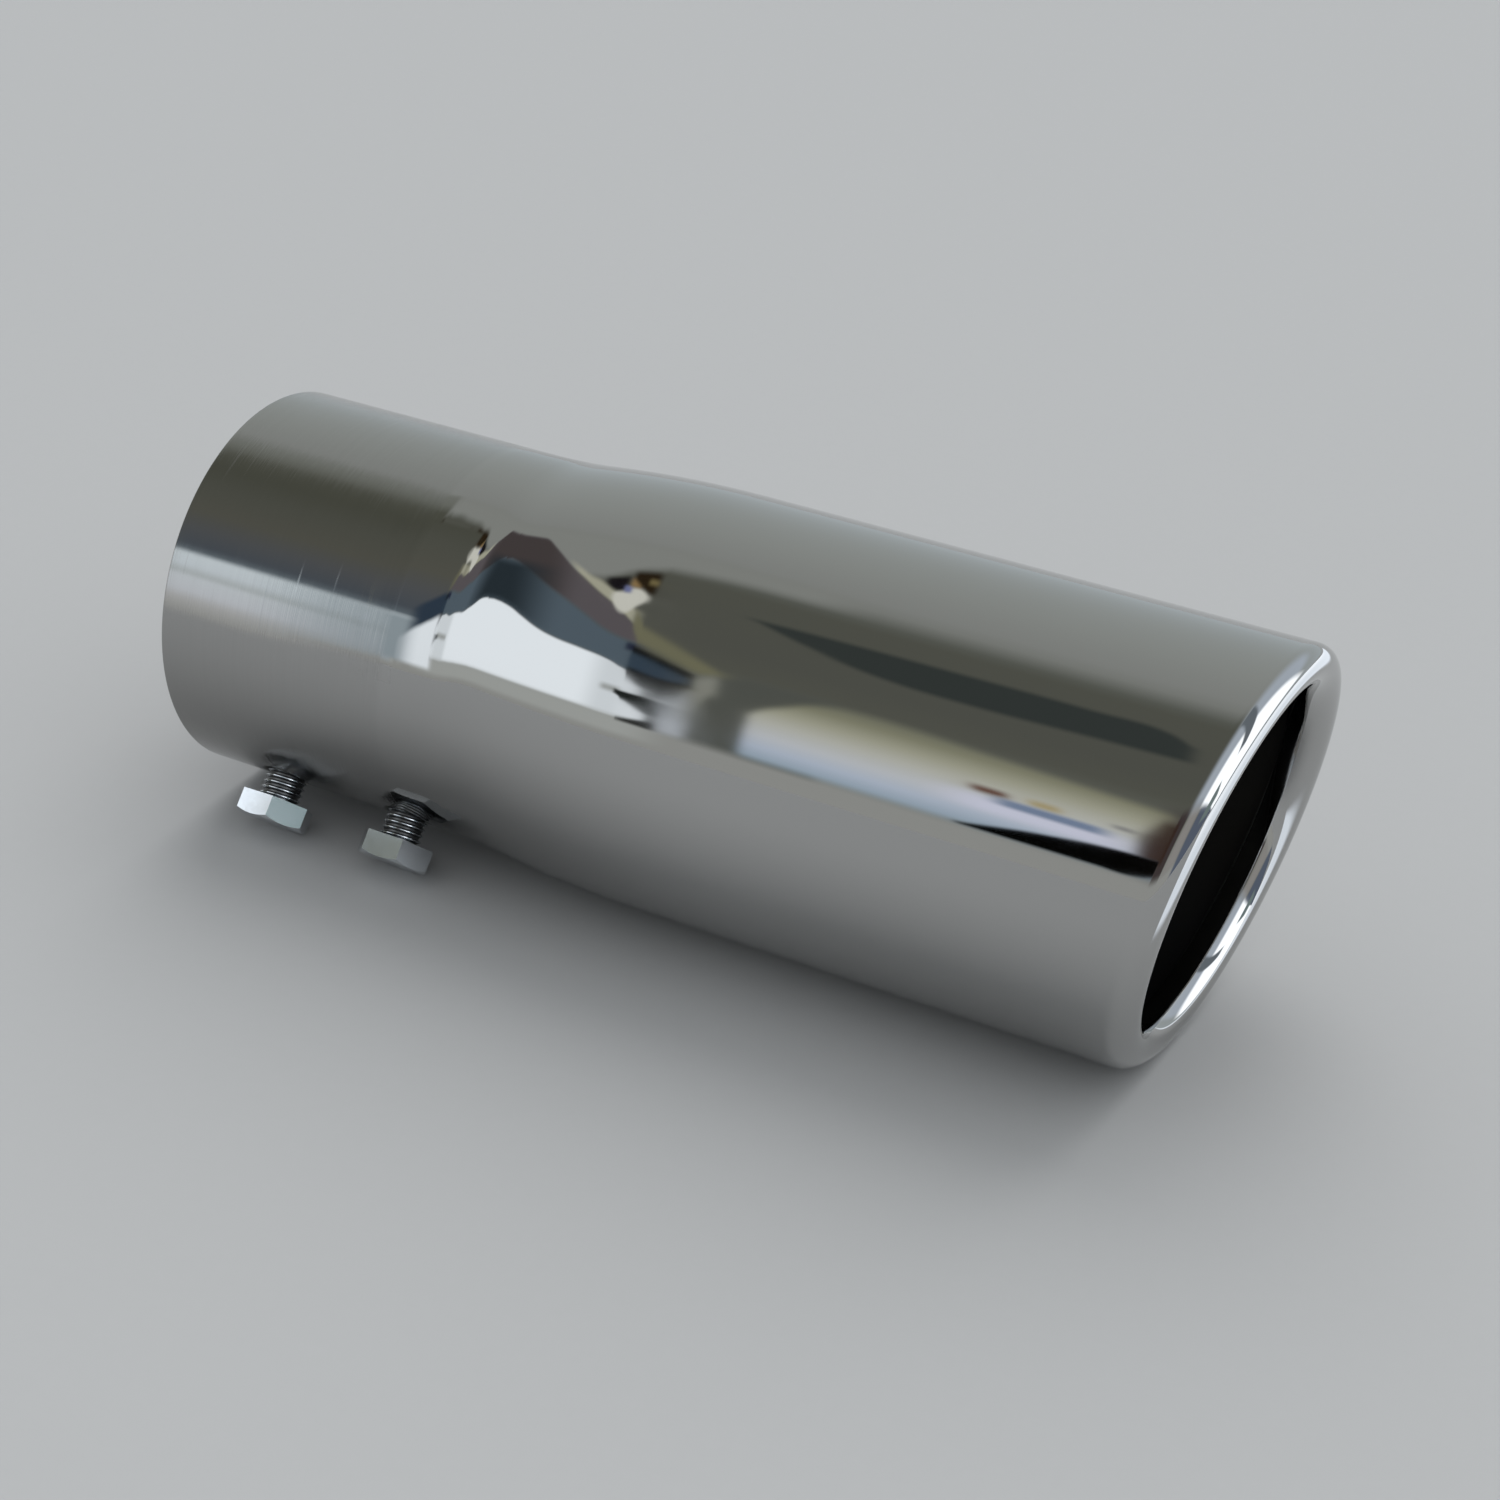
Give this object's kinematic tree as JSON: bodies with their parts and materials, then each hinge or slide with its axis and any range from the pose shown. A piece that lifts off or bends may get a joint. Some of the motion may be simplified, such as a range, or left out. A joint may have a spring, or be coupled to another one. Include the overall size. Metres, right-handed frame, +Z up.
{
  "type": "exhaust tip",
  "caption": "Round slip-on exhaust tip of polished steel: sleeve with screw-in clamp bolts, a small flare and a slant-cut outlet with a rolled lip.",
  "frame": {"origin": "centre of the inlet's round mouth, on the tube's axis", "axes": "+X along the tube from the inlet to the outlet, +Z up. The tip lies as it comes to rest: the body's skin and a bolt's head touch the ground, and both bolts point down towards -Y, 40 degrees from straight down"},
  "size_m": [0.1746, 0.068, 0.068],
  "materials": {
    "polished_steel": "mirror-polished body and lip, satin brushed sleeve, dark inside",
    "zinc_plate": "bright zinc plate",
    "weld_steel": "dull, heat-tinted at the weld"
  },
  "bodies": {
    "shell": {"tip_shell": "polished_steel", "weld_nut_inlet": "weld_steel", "weld_nut_flare": "weld_steel"},
    "inlet_bolt": {"clamp_bolt_inlet": "zinc_plate"},
    "flare_bolt": {"clamp_bolt_flare": "zinc_plate"}
  },
  "joints": [
    {"name": "inlet_bolt_travel", "type": "slide", "parent": "shell", "child": "inlet_bolt", "axis": [0, 0.6423, 0.7665], "range_m": [-0.005, 0.0038]},
    {"name": "flare_bolt_travel", "type": "slide", "parent": "shell", "child": "flare_bolt", "axis": [0, 0.6423, 0.7665], "range_m": [-0.005, 0.0038]}
  ]
}
